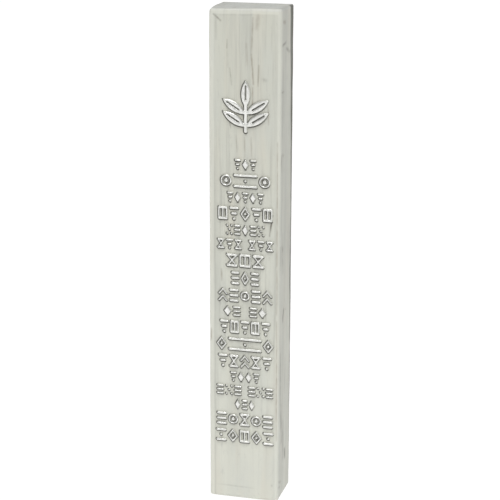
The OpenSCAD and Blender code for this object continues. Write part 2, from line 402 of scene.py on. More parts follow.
MARKS["right"] = [
    ((2.0, 139.6), (5.8, 140.0), 0.32, 0.12, 0.75, 0.1),
    ((6.6, 138.2), (10.2, 136.8), 0.4, 0.12, 0.75, 0.1),
    ((2.4, 146.3), (5.0, 145.8), 0.45, 0.06, 0.35, 0.9),
    ((1.4, 126.3), (4.0, 126.0), 0.22, 0.08, 0.45, 0.3),
    ((3.4, 83.5), (4.6, 72.0), 0.6, 0.04, 0.3, 0.2),
    ((3.9, 80.2), (4.2, 78.4), 0.4, 0.08, 0.35, 0.2),
    ((2.6, 107.8), (4.6, 107.2), 0.4, 0.05, 0.3, 0.4),
    ((1.9, 108.0), (2.2, 103.0), 0.3, 0.05, 0.5, 0.2),
    ((1.8, 80.5), (2.2, 73.5), 0.28, 0.06, 0.6, 0.1),
    ((5.8, 60.2), (4.8, 56.6), 0.5, 0.1, 0.8, 0.2),
    ((7.4, 59.7), (8.4, 59.4), 0.25, 0.06, 0.35, 0.2),
    ((8.8, 14.0), (9.2, 11.2), 0.5, 0.14, 0.9, 0.1),
    ((3.6, 30.0), (4.4, 18.0), 0.7, 0.02, 0.5, 0.0),
    ((6.0, 24.0), (6.6, 12.0), 0.9, 0.02, 0.32, 0.0),
    ((2.4, 47.0), (3.0, 31.0), 0.6, 0.02, 0.34, 0.0),
    ((8.4, 44.0), (8.0, 33.0), 0.7, 0.02, 0.14, 0.1),
    ((1.0, 6.2), (4.5, 4.8), 0.22, 0.08, 0.4, 0.3),
    ((1.2, 4.4), (3.0, 3.6), 0.2, 0.06, 0.35, 0.3),
]
MARKS["left"] = [
    ((4.0, 128.0), (7.5, 128.6), 0.22, 0.1, 0.4, 0.2),
    ((9.0, 96.0), (9.6, 84.0), 0.5, 0.04, 0.3, 0.3),
    ((3.0, 41.0), (4.2, 40.6), 0.3, 0.1, 0.45, 0.2),
]


def edge_lines(low, high, step):
    """Grid lines from low to high: close over the rounded edges, and about a step apart between."""
    near = np.linspace(0, EDGE_ZONE, EDGE_LINES + 1)
    first, last = low + EDGE_ZONE, high - EDGE_ZONE
    between = np.linspace(first, last, round((last - first) / step) + 1)
    return np.concatenate([low + near, between[1:-1], (high - near)[::-1]])


def face_grid(axis, value, first, second, ring_only=False):
    """Points and quads of one flat face of the box, or only of its ring over the rounded edges."""
    others = [k for k in range(3) if k != axis]
    u, v = np.meshgrid(first, second, indexing="ij")
    points = np.empty((u.size, 3))
    points[:, axis] = value
    points[:, others[0]] = u.ravel()
    points[:, others[1]] = v.ravel()
    rows, columns = len(first) - 1, len(second) - 1
    i, j = np.meshgrid(np.arange(rows), np.arange(columns), indexing="ij")
    i, j = i.ravel(), j.ravel()
    if ring_only:
        ring = (np.minimum(i, rows - 1 - i) < EDGE_LINES) | (np.minimum(j, columns - 1 - j) < EDGE_LINES)
        i, j = i[ring], j[ring]
    wide = columns + 1
    quads = np.column_stack([i * wide + j, (i + 1) * wide + j, (i + 1) * wide + j + 1, i * wide + j + 1])
    normal_up = axis != 1
    if (value == CASE_HIGH[axis]) != normal_up:
        quads = quads[:, ::-1]
    return points, quads


def inner_ring(first, second):
    """The rectangle of grid points just inside the rounded edges of a face, in order."""
    u = first[EDGE_LINES:-EDGE_LINES]
    v = second[EDGE_LINES:-EDGE_LINES]
    return np.concatenate([
        np.column_stack([u[:-1], np.full(len(u) - 1, v[0])]),
        np.column_stack([np.full(len(v) - 1, u[-1]), v[:-1]]),
        np.column_stack([u[:0:-1], np.full(len(u) - 1, v[-1])]),
        np.column_stack([np.full(len(v) - 1, u[0]), v[:0:-1]]),
    ])


def facing(points, faces, axis, sign):
    """Triangles of a flat face, turned so that their normal points along sign on axis."""
    a, b, c = points[faces[:, 0]], points[faces[:, 1]], points[faces[:, 2]]
    wrong = np.cross(b - a, c - a)[:, axis] * sign < 0
    faces = faces.copy()
    faces[wrong] = faces[wrong][:, ::-1]
    return faces


BORE_SEGMENTS = 96
BORE_RINGS = 24
SEAT_BEVEL = 0.12
BORE_BEVEL = 0.25
BORE_ROUND = 0.6
END_DISC = 0.4


def block_shell(outlines):
    """The box's six faces, welded, with the chamber cut in from below."""
    xs = edge_lines(CASE_LOW[0], CASE_HIGH[0], RIM_STEP)
    ys = edge_lines(FRONT, BACK, SIDE_STEP)
    zs = edge_lines(FOOT, TOP, RIM_STEP)
    border = inner_ring(xs, zs)
    foot = [inner_ring(xs, ys), circle(SEAT_R, BORE_SEGMENTS)]
    return weld([
        face_grid(1, FRONT, xs, zs, ring_only=True),
        face_grid(0, CASE_LOW[0], ys, zs),
        face_grid(0, CASE_HIGH[0], ys, zs),
        face_grid(2, TOP, xs, ys),
        face_grid(1, BACK, xs, zs, ring_only=True),
        face_grid(2, FOOT, xs, ys, ring_only=True),
        flat_middle([border], front_spread(border, outlines), 1, FRONT, -1),
        flat_middle([border], hex_points([border], BACK_STEP, BACK_MARGIN), 1, BACK, 1),
        flat_middle(foot, hex_points(foot, FOOT_STEP, 0.5 * FOOT_STEP), 2, FOOT, -1),
        chamber_walls(),
    ])


def flat_middle(loops, spread, axis, value, sign):
    """Points and triangles of a face inside its ring, with its normal along sign on axis."""
    flat, triangles = fill(loops, spread)
    points = lift(flat, axis, value)
    return points, facing(points, triangles, axis, sign)


def front_spread(border, outlines):
    """Points over the front: rings that follow the relief's outlines, and evenly spread ones between."""
    even = hex_points([border], FACE_STEP, 0.5 * FACE_STEP)
    spread = [even[outline_gap(even, outlines)[0] > RING_GAPS[-1] + 0.4 * FACE_STEP]]
    for gap in RING_GAPS:
        ring = np.concatenate([(loop + gap * outward_normals(loop))[::RING_STRIDE] for loop in outlines])
        spread.append(ring[outline_gap(ring, outlines)[0] > gap - RING_SLACK])
    return np.concatenate(spread)


def chamber_walls():
    """The seat's wall and step, the bore and its end, in rings from the mouth inwards."""
    rings = [
        (SEAT_R, FOOT),
        (SEAT_R, SEAT_TOP - SEAT_BEVEL),
        (SEAT_R - SEAT_BEVEL, SEAT_TOP),
        (CHAMBER_R + BORE_BEVEL, SEAT_TOP),
    ]
    levels = np.linspace(SEAT_TOP + BORE_BEVEL, CHAMBER_TOP - BORE_ROUND, BORE_RINGS)
    rings += [(CHAMBER_R, z) for z in levels]
    rings += [(CHAMBER_R - BORE_ROUND, CHAMBER_TOP), (END_DISC * CHAMBER_R, CHAMBER_TOP)]
    points = np.concatenate([lift(circle(radius, BORE_SEGMENTS), 2, z) for radius, z in rings])
    faces = [quad[::-1] for quad in loft(BORE_SEGMENTS, len(rings))]
    last = (len(rings) - 1) * BORE_SEGMENTS
    faces.append(tuple(range(last + BORE_SEGMENTS - 1, last - 1, -1)))
    return points, faces


def weld(parts):
    """One list of points and faces from several, with points at the same place joined."""
    points = np.concatenate([p for p, _ in parts])
    faces, first = [], 0
    for part, quads in parts:
        faces += [tuple(int(n) + first for n in f) for f in quads]
        first += len(part)
    keys = np.round(points * WELD_GRID).astype(np.int64)
    _, index, same = np.unique(keys, axis=0, return_index=True, return_inverse=True)
    used = np.unique(np.concatenate([same.ravel()[list(f)] for f in faces]))
    number = np.full(len(index), -1)
    number[used] = np.arange(len(used))
    same = number[same.ravel()]
    return points[index][used], [tuple(same[list(f)]) for f in faces]


EDGE_R = 0.52
EDGE_R_SWING = 0.17
EDGE_R_LEAST = 0.35
WORN_R = 0.5
WORN_REACH = 2.2


def soften_edges(points, bore):
    """Rounds the block's twelve edges unevenly: the radius wanders, and is larger at one upper corner."""
    corner = np.array([CASE_LOW[0], FRONT, TOP])
    radius = EDGE_R + EDGE_R_SWING * fractal(points, (7, 7, 7), 4.0, 1)
    radius += WORN_R * np.exp(-((np.linalg.norm(points - corner, axis=1) / WORN_REACH) ** 2))
    radius = np.clip(radius, EDGE_R_LEAST, EDGE_ZONE)[:, None]
    core = np.clip(points, CASE_LOW + radius, CASE_HIGH - radius)
    away = points - core
    rounded = core + away * radius / np.maximum(np.linalg.norm(away, axis=1), 1e-9)[:, None]
    return np.where(bore[:, None], points, rounded)


def mark_strength(across, height, start, end, half_width):
    """1 on the line from start to end, falling off softly beside it and past its ends."""
    place = np.column_stack([across, height])
    start, end = np.array(start), np.array(end)
    run = end - start
    along = np.clip((place - start) @ run / (run @ run), 0, 1)
    off = np.linalg.norm(place - start - along[:, None] * run, axis=1)
    return np.exp(-((off / half_width) ** 2)) * (0.55 + 0.45 * np.sin(math.pi * along))


# The marks' patchiness: its wavelengths, mean, swing and range.
PATCH_SIZE = (0.8, 0.8, 1.8)
PATCH_MEAN = 0.9
PATCH_SWING = 0.6
PATCH_RANGE = (0.2, 1.3)


def press_marks(points, near, dent):
    """Adds the marks to the dents, and gives how dark and how brown they leave each point. The sides are
    also painted darker all over: painted shade.
    """
    height = points[:, 2] - FOOT
    depth = points[:, 1] - FRONT
    patchy = PATCH_MEAN + PATCH_SWING * fractal(points, PATCH_SIZE, 21.0)
    patchy = np.clip(patchy, *PATCH_RANGE)
    # Painted shade: both sides darker than the front.
    dark = SIDE_SHADE * (near["left"] + near["right"]) * (1 - near["front"])
    brown = np.zeros(len(points))
    for face, marks in MARKS.items():
        across = points[:, 0] if face == "front" else depth
        for start, end, half_width, deep, shade, warm in marks:
            strength = mark_strength(across, height, start, end, half_width) * near[face] * patchy
            dent[face] = dent[face] + deep * strength
            dark += MARK_TONE * shade * strength
            brown += MARK_TONE * shade * warm * strength
    return dark, brown


FACE_REACH = 2.0


def near_faces(points):
    """How far each point belongs to the front and to the two sides: 1 on the face, and 0 well behind it."""
    return {
        "front": smoothstep(FACE_REACH, 0.0, points[:, 1] - FRONT),
        "left": smoothstep(FACE_REACH, 0.0, points[:, 0] - CASE_LOW[0]),
        "right": smoothstep(FACE_REACH, 0.0, CASE_HIGH[0] - points[:, 0]),
    }


# The faces' waves (height, wavelengths, seed, octaves), the worn border and the dip around the relief.
FRONT_WAVES = [(0.035, (5, 5, 16), 1.0, 3), (0.012, (0.8, 0.8, 7), 8.0, 2)]
SIDE_WAVES = [(1.0, (9, 6, 9), 3.0, 2), (0.5, (1.5, 1.2, 12), 6.0, 2)]
SIDE_DROP = 0.05
BEVEL_W = 1.7
BEVEL_DROP = 0.26
BEVEL_CURVE = 1.3
DIP_DROP = 0.06
DIP_AT = 0.1
DIP_HALF = 0.25


def face_dents(points, gap, rim):
    """How deep the front and the sides are sunk at each point, apart from their marks."""
    front = waves(points, FRONT_WAVES)
    front += DIP_DROP * np.exp(-(((gap - DIP_AT) / DIP_HALF) ** 2))
    front += BEVEL_DROP * np.clip(1 - rim / BEVEL_W, 0, 1) ** BEVEL_CURVE
    side = SIDE_DROP * (1 + np.clip(waves(points, SIDE_WAVES), -1, 1))
    return {"front": front, "left": side, "right": side}


# The upper left front corner is worn down over this much of x, of the depth and of the height. The
# fingernail scoop at the seat's edge is a round channel, with ends that fade over a short way.
CORNER_DROP = 0.35
CORNER_X = (5, -9)
CORNER_DEPTH = 9
CORNER_HEIGHT = 4
SCOOP_R = 1.6
SCOOP_HALF = 3.0
SCOOP_FADE = (0.15, 0.35)


def shape_block(points, near, dent):
    """The points with rounded edges, sunk faces, the worn corner and the scoop."""
    radius = from_axis(points)
    bore = (radius < SEAT_R + ON_FACE) & (points[:, 2] < CHAMBER_TOP + ON_FACE)
    points = soften_edges(points, bore)
    points[:, 1] += np.where(bore, 0, near["front"] * dent["front"])
    points[:, 0] += np.where(bore, 0, near["left"] * dent["left"] - near["right"] * dent["right"])
    worn = smoothstep(*CORNER_X, points[:, 0]) * smoothstep(FRONT + CORNER_DEPTH, FRONT, points[:, 1])
    points[:, 2] -= CORNER_DROP * worn * smoothstep(TOP - CORNER_HEIGHT, TOP, points[:, 2])
    scoop = np.sqrt(np.maximum(SCOOP_R**2 - (points[:, 0] - CENTRE[0] - SEAT_R) ** 2, 0))
    beside = abs(points[:, 1] - CENTRE[1])
    scoop *= smoothstep(SCOOP_HALF + SCOOP_FADE[0], SCOOP_HALF - SCOOP_FADE[1], beside)
    at_foot = (points[:, 2] < FOOT + ON_FACE) & (radius > SEAT_R - ON_FACE)
    points[:, 2] += np.where(at_foot, scoop, 0)
    return points


# Where the rubbed-in tone and painted shade beside the relief are full, and where they are gone.
BLOCK_WASH_AND_SHADE = (0.22, 0.44)
HAZE_REACH = 1.1
RIM_LINE = BEVEL_W + 0.1
RIM_LINE_HALF = 0.2
RIM_FADE = 0.4
FAR = 9.0


def block_piece(outlines, material):
    """The block, with a field for each tone, stain and painted shade that its material shows."""
    flat_points, faces = block_shell(outlines)
    near = near_faces(flat_points)
    on_front = flat_points[:, 1] - FRONT < ON_FACE
    gap = np.full(len(flat_points), FAR)
    towards = np.zeros((len(flat_points), 2))
    gap[on_front], towards[on_front] = outline_gap(flat_points[on_front][:, [0, 2]], outlines)
    rim = rim_distance(flat_points)
    dent = face_dents(flat_points, gap, rim)
    dark, brown = press_marks(flat_points, near, dent)
    points = shape_block(flat_points, near, dent)
    return make_piece(
        "case_block", "case", points, faces, material, ["case_body"], sharp_deg=50,
        fields={
            # Rubbed-in tone and painted shade around the relief, darkest below and left of it.
            "wash_and_shade": edge_shade(towards, gap, *BLOCK_WASH_AND_SHADE),
            "haze": np.exp(-((gap / HAZE_REACH) ** 2)),
            "dark": dark,
            "brown": brown,
            # Stain and painted shade along the sides' back edges.
            "edge_stain_and_shade": edge_stain_and_shade_field(points),
            "worn": smoothstep(RIM_LINE, BEVEL_W - RIM_FADE, rim) * near["front"],
            "line": np.exp(-(((rim - RIM_LINE) / RIM_LINE_HALF) ** 2)) * near["front"],
        },
    )


RIGHT_RIM = 0.6
FOOT_RIM = 1.2
RIM_WAVE = 0.16


def rim_distance(points):
    """Distance on the face from its worn border, which is slimmer at the right and slimmest at the foot."""
    sides = [
        points[:, 0] - CASE_LOW[0],
        CASE_HIGH[0] - points[:, 0] + RIGHT_RIM,
        TOP - points[:, 2],
        points[:, 2] - FOOT + FOOT_RIM,
    ]
    return np.minimum.reduce(sides) + RIM_WAVE * fractal(points, (2.5, 2.5, 9), 12.0)


def outline_gap(flat, loops):
    """Distance from points on the front face to the relief's outlines, and the direction to them."""
    edge = np.concatenate(loops)
    tree = kdtree.KDTree(len(edge))
    for k, (x, z) in enumerate(edge):
        tree.insert((x, 0, z), k)
    tree.balance()
    found = [tree.find((x, 0, z)) for x, z in flat]
    gap = np.array([f[2] for f in found])
    towards = np.array([(f[0][0], f[0][2]) for f in found]) - flat
    return gap, towards / np.maximum(gap, 1e-9)[:, None]


# Width of the dark strip along a side's back edge at heights above the foot. The strip is rubbed-in stain
# and painted shade on the rounded back edge.
DARK_STRIP_HEIGHTS = [0, 20, 50, 70, 80, 110, 130, 150]
DARK_STRIP_WIDTHS = [-0.4, 0.9, 1.3, 1.9, 1.6, 2.1, 3.1, 4.0]
DARK_STRIP_WAVE = 0.3
DARK_STRIP_SOFT = 0.5
DARK_STRIP_SIDE = (0.9, 0.1)


def edge_stain_and_shade_field(points):
    """The dark strip along the side's back edges, rubbed-in stain and painted shade on the rounded edge:
    wide at the top, and gone near the foot.
    """
    width = np.interp(points[:, 2] - FOOT, DARK_STRIP_HEIGHTS, DARK_STRIP_WIDTHS)
    width += DARK_STRIP_WAVE * fractal(points, (3, 3, 5), 9.0)
    across = abs(points[:, 0] - CENTRE[0])
    side = smoothstep(HALF[0] - DARK_STRIP_SIDE[0], HALF[0] - DARK_STRIP_SIDE[1], across)
    return side * smoothstep(width + DARK_STRIP_SOFT, width - DARK_STRIP_SOFT, BACK - points[:, 1])


# --- the stopper ---

STOPPER_SEGMENTS = 120
FACE_RINGS = 24
HEAD_ROUND = 0.3
HEAD_BACK_ROUND = 0.15
NECK = 0.2
RIB_GAP = 0.04
RIB_HALF = 0.55
PLUG_GAP = 0.35
PLUG_ROUND = 0.6
ROUND_POINTS = 6
RIB_POINTS = 9


def stopper_profile():
    """The foot's height, the head's radius, and the outside as radii and heights, from its face up."""
    low, high = box_mm("stopper")
    head_r, foot = (high[0] - low[0]) / 2, low[2]
    level = node_mesh("stopper")[0][:, 2]
    radius = radii_of("stopper")
    head_top = level[radius > head_r - ON_ROUND].max()
    rib_r = CHAMBER_R - RIB_GAP
    plug_r = CHAMBER_R - PLUG_GAP
    quarter = [(1 - math.sin(a), 1 - math.cos(a)) for a in np.linspace(0, math.pi / 2, ROUND_POINTS)]
    profile = [(head_r - HEAD_ROUND * s, foot + HEAD_ROUND * c) for s, c in quarter]
    profile += [(head_r - HEAD_BACK_ROUND * c, head_top - HEAD_BACK_ROUND * s) for s, c in quarter]
    profile += [(plug_r + NECK, head_top), (plug_r, head_top + NECK)]
    rib_ends = sorted({round(float(z), 2) for z in level[abs(radius - rib_r) < ON_ROUND]})
    for low_end, high_end in zip(rib_ends[::2], rib_ends[1::2]):
        middle = (low_end + high_end) / 2
        for a in np.linspace(-math.pi / 2, math.pi / 2, RIB_POINTS):
            profile.append((plug_r + (rib_r - plug_r) * math.cos(a), middle + RIB_HALF * math.sin(a)))
    profile += [(plug_r - PLUG_ROUND * c, high[2] - PLUG_ROUND * s) for s, c in quarter]
    return foot, head_r, profile


def stopper_piece(material):
    """A turned rubber plug with two sealing ribs, and two finger pockets either side of a grip bar."""
    foot, head_r, profile = stopper_profile()
    face_r = np.linspace(0, head_r - HEAD_ROUND, FACE_RINGS + 2)[1:-1]
    rings = [(r, foot) for r in face_r] + profile
    rows = [lift(circle(r, STOPPER_SEGMENTS), 2, z) for r, z in rings]
    for row in rows[:FACE_RINGS]:
        row[:, 2] += pocket_depth(row[:, 0] - CENTRE[0], row[:, 1] - CENTRE[1], head_r)
    ends = [(CENTRE[0], CENTRE[1], foot), (CENTRE[0], CENTRE[1], rings[-1][1])]
    points = np.concatenate([*rows, ends])
    faces = loft(STOPPER_SEGMENTS, len(rings))
    face_middle = len(rings) * STOPPER_SEGMENTS
    last = face_middle - STOPPER_SEGMENTS
    for k in range(STOPPER_SEGMENTS):
        after = (k + 1) % STOPPER_SEGMENTS
        faces.append((face_middle, after, k))
        faces.append((face_middle + 1, last + k, last + after))
    return make_piece(
        "stopper_plug", "stopper", points, faces, material, ["stopper"], sharp_deg=60
    )


POCKET_DEPTH = 0.9
POCKET_RIM = 1.2
POCKET_FADE = (0.12, 0.25)
GRIP_HALF = 1.0
GRIP_FADE = (0.1, 0.3)


def pocket_depth(x, y, head_r):
    """How far the stopper's face is sunk: two half-moon pockets with a bar between them."""
    rim_r = head_r - POCKET_RIM
    inside_rim = smoothstep(rim_r + POCKET_FADE[0], rim_r - POCKET_FADE[1], np.hypot(x, y))
    beside_bar = smoothstep(GRIP_HALF - GRIP_FADE[0], GRIP_HALF + GRIP_FADE[1], abs(x))
    return POCKET_DEPTH * inside_rim * beside_bar


# --- the roll, its sleeve and the tape ---

SHEET_T = 0.24
WINDING_PITCH = 0.3
WINDING_STEPS = 60
ROLL_LEVELS = 31
ROLL_SLIP = 0.25
ROLL_RIPPLE = 0.012
SLIP_TURN = 5
RIPPLES_ROUND = 3
RIPPLES_UP = 9


def parchment_piece(material):
    """One sheet wound into a tight spiral, with ends that are not quite flush."""
    low, high = box_mm("parchment_scroll")
    outer_r = (high[0] - low[0]) / 2
    turns = (outer_r - radii_of("parchment_scroll").min() - SHEET_T) / WINDING_PITCH
    angle = np.linspace(0, turns * math.tau, int(turns * WINDING_STEPS))
    outside = outer_r - ROLL_RIPPLE - WINDING_PITCH * angle / math.tau
    slip = ROLL_SLIP * (1 + np.array([noise.noise(Vector((a / SLIP_TURN, 1.7, 0))) for a in angle]))
    rows = []
    for share in np.linspace(0, 1, ROLL_LEVELS):
        z = low[2] + slip + share * (high[2] - low[2] - 2 * slip)
        ripple = ROLL_RIPPLE * np.sin(RIPPLES_ROUND * angle + RIPPLES_UP * share)
        for radius, order in ((outside + ripple, 1), (outside + ripple - SHEET_T, -1)):
            x = CENTRE[0] + radius * np.cos(angle)
            y = CENTRE[1] + radius * np.sin(angle)
            rows.append(np.column_stack([x, y, z])[::order])
    count = len(angle)
    faces = loft(2 * count, ROLL_LEVELS)
    last, top = 2 * count - 1, 2 * count * (ROLL_LEVELS - 1)
    for n in range(count - 1):
        faces.append((n + 1, n, last - n, last - n - 1))
        faces.append((top + n, top + n + 1, top + last - n - 1, top + last - n))
    return make_piece(
        "parchment_roll", "scroll", np.concatenate(rows), faces, material,
        ["parchment_scroll"], sharp_deg=40,
    )


SLEEVE_SEGMENTS = 144
SLEEVE_LEVELS = 61
FILM_T = 0.1
SEAM_TURN = 2.2
SEAM_HALF = 0.12
CREASE_LENGTH = 14
CREASES_ROUND = 3
SLEEVE_FIT = 0.45
SLEEVE_SWING = 0.5


def sleeve_piece(material):
    """A thin film tube with an overlapping seam and a few soft creases."""
    low, high = box_mm("scroll_sleeve")
    inner_r = radii_of("scroll_sleeve").min()
    slack = (high[0] - low[0]) / 2 - inner_r - FILM_T
    turn = np.arange(SLEEVE_SEGMENTS) * math.tau / SLEEVE_SEGMENTS
    seam = np.exp(-(((turn - SEAM_TURN) / SEAM_HALF) ** 2))
    outer, inner = [], []
    for z in np.linspace(low[2], high[2], SLEEVE_LEVELS):
        round_it = [(CREASES_ROUND * math.cos(a), CREASES_ROUND * math.sin(a)) for a in turn]
        crease = np.array([noise.noise(Vector((u, v, z / CREASE_LENGTH))) for u, v in round_it])
        share = SLEEVE_FIT + SLEEVE_SWING * crease + SLEEVE_SWING * seam
        radius = inner_r + FILM_T + slack * np.clip(share, 0, 1)
        outer.append(lift(circle(radius, SLEEVE_SEGMENTS), 2, z))
        inner.append(lift(circle(radius - FILM_T, SLEEVE_SEGMENTS), 2, z))
    half = SLEEVE_LEVELS * SLEEVE_SEGMENTS
    faces = loft(SLEEVE_SEGMENTS, SLEEVE_LEVELS)
    faces += [tuple(n + half for n in quad[::-1]) for quad in faces]
    first = list(range(SLEEVE_SEGMENTS))
    last = [n + half - SLEEVE_SEGMENTS for n in first]
    faces += stitch([n + half for n in first], first)
    faces += stitch(last, [n + half for n in last])
    return make_piece(
        "sleeve_film", "scroll", np.concatenate(outer + inner), faces, material,
        ["scroll_sleeve"], sharp_deg=40,
    )


# How far the tape's edge is drawn in at some depths from either adhesive face, and half-way between.
TAPE_INSETS = [(0.08, 0.02), (0.2, 0.1)]
TAPE_WAIST = 0.16
TAPE_CORNER = 0.8
CORNER_POINTS = 7
TAPE_STEP = 0.5
TAPE_WANDER = np.array([0.012, 0.0012])
TAPE_WANDER_SIZE = 3
TAPE_FACE_STEP = 1.5
TAPE_FACE_MARGIN = 0.7


def tape_piece(material):
    """A strip of foam with cut edges that wander a little and two faces of adhesive."""
    low, high = box_mm("mounting_tape")
    outline = rounded_outline(low[[0, 2]], high[[0, 2]], TAPE_CORNER, TAPE_STEP)
    middle = (low + high)[[0, 2]] / 2
    inward = 1 - TAPE_WANDER * (1 + drift(outline, TAPE_WANDER_SIZE, 1.0))
    outline = middle + (outline - middle) * np.clip(inward, 0, 1)
    flat, triangles = fill([outline], hex_points([outline], TAPE_FACE_STEP, TAPE_FACE_MARGIN))
    between = [(low[1] + depth, inset) for depth, inset in TAPE_INSETS]
    between.append(((low[1] + high[1]) / 2, TAPE_WAIST))
    between += [(high[1] - depth, inset) for depth, inset in reversed(TAPE_INSETS)]
    front, back = lift(flat, 1, low[1]), lift(flat, 1, high[1])
    shapes = [front]
    for y, inset in between:
        shrunk = outline + (middle - outline) * inset / np.abs(outline - middle).max(0)
        shapes.append(lift(shrunk, 1, y))
    shapes.append(back)
    starts = np.cumsum([0] + [len(shape) for shape in shapes[:-1]])
    rings = [list(range(start, start + len(outline))) for start in starts]
    faces = []
    for a, b in zip(rings, rings[1:]):
        faces += stitch(b, a)
    faces += [tuple(t) for t in facing(front, triangles, 1, -1)]
    faces += [tuple(t + starts[-1]) for t in facing(back, triangles, 1, 1)]
    piece = make_piece(
        "foam_tape", "case", np.concatenate(shapes), faces, material,
        ["mounting_tape"], sharp_deg=50,
    )
    return piece


def rounded_outline(low, high, corner, step):
    """A rectangle with round corners, anticlockwise, with a point every step."""
    out = []
    right, left, top, foot = high[0], low[0], high[1], low[1]
    centres = [(right, top, 0), (left, top, 90), (left, foot, 180), (right, foot, 270)]
    for x, z, start in centres:
        cx = x - math.copysign(corner, x - (low[0] + high[0]) / 2)
        cz = z - math.copysign(corner, z - (low[1] + high[1]) / 2)
        for a in np.radians(np.linspace(start, start + 90, CORNER_POINTS)):
            out.append((cx + corner * math.cos(a), cz + corner * math.sin(a)))
    loop = np.array(out)
    dense = []
    for a, b in zip(loop, np.roll(loop, -1, axis=0)):
        pieces = max(1, round(np.linalg.norm(b - a) / step))
        dense += [a + (b - a) * k / pieces for k in range(pieces)]
    return np.array(dense)


# --- materials ---

SPAN_INPUTS = ("From Min", "From Max", "To Min", "To Max")


class Shader:
    """A material's node tree, with short calls for the nodes that the materials use."""

    def __init__(self, name):
        self.material = bpy.data.materials.new(name)
        self.material.use_nodes = True
        self.tree = self.material.node_tree
        self.surface = self.tree.nodes["Principled BSDF"]
        self.place = self.node("ShaderNodeTexCoord").outputs["Object"]

    def node(self, kind, **settings):
        made = self.tree.nodes.new(kind)
        for key, value in settings.items():
            setattr(made, key, value)
        return made

    def wire(self, source, socket):
        if isinstance(source, (int, float)):
            socket.default_value = source
        elif isinstance(source, tuple):
            socket.default_value = (*source, 1.0)
        else:
            self.tree.links.new(source, socket)

    def noise(self, size_mm, detail, rough=0.55, offset=0.0):
        """Noise of 0 to 1 whose wavelength along x, y and z is size_mm."""
        mapping = self.node("ShaderNodeMapping")
        mapping.inputs["Scale"].default_value = [1 / (s * MM) for s in size_mm]
        mapping.inputs["Location"].default_value = (offset, offset * 1.7, offset * 0.6)
        self.wire(self.place, mapping.inputs["Vector"])
        made = self.node("ShaderNodeTexNoise")
        made.inputs["Scale"].default_value = 1.0
        made.inputs["Detail"].default_value = detail
        made.inputs["Roughness"].default_value = rough
        self.wire(mapping.outputs["Vector"], made.inputs["Vector"])
        return made.outputs["Fac"]

    def field(self, name):
        return self.node("ShaderNodeAttribute", attribute_name=name).outputs["Fac"]

    def span(self, value, low, high, to_low=0.0, to_high=1.0):
        """A smooth step: to_low up to value low, and to_high from value high on."""
        made = self.node("ShaderNodeMapRange", interpolation_type="SMOOTHSTEP")
        for key, number in zip(SPAN_INPUTS, (low, high, to_low, to_high)):
            made.inputs[key].default_value = number
        self.wire(value, made.inputs["Value"])
        return made.outputs["Result"]

    def maths(self, operation, a, b):
        made = self.node("ShaderNodeMath", operation=operation)
        self.wire(a, made.inputs[0])
        self.wire(b, made.inputs[1])
        return made.outputs[0]

    def mix(self, share, a, b):
        made = self.node("ShaderNodeMix", data_type="RGBA")
        self.wire(share, made.inputs[0])
        self.wire(a, made.inputs[6])
        self.wire(b, made.inputs[7])
        return made.outputs[2]

    def axis(self, name):
        made = self.node("ShaderNodeSeparateXYZ")
        self.wire(self.place, made.inputs[0])
        return made.outputs[name]

    def bump(self, height, depth_mm, strength, after=None):
        made = self.node("ShaderNodeBump")
        made.inputs["Strength"].default_value = strength
        made.inputs["Distance"].default_value = depth_mm * MM
        self.wire(height, made.inputs["Height"])
        if after is not None:
            self.wire(after, made.inputs["Normal"])
        return made.outputs["Normal"]

    def finish(self, color, roughness, normal=None, **fixed):
        self.wire(color, self.surface.inputs["Base Color"])
        self.wire(roughness, self.surface.inputs["Roughness"])
        if normal is not None:
            self.wire(normal, self.surface.inputs["Normal"])
        for key, value in fixed.items():
            self.surface.inputs[key.replace("_", " ")].default_value = value
        return self.material


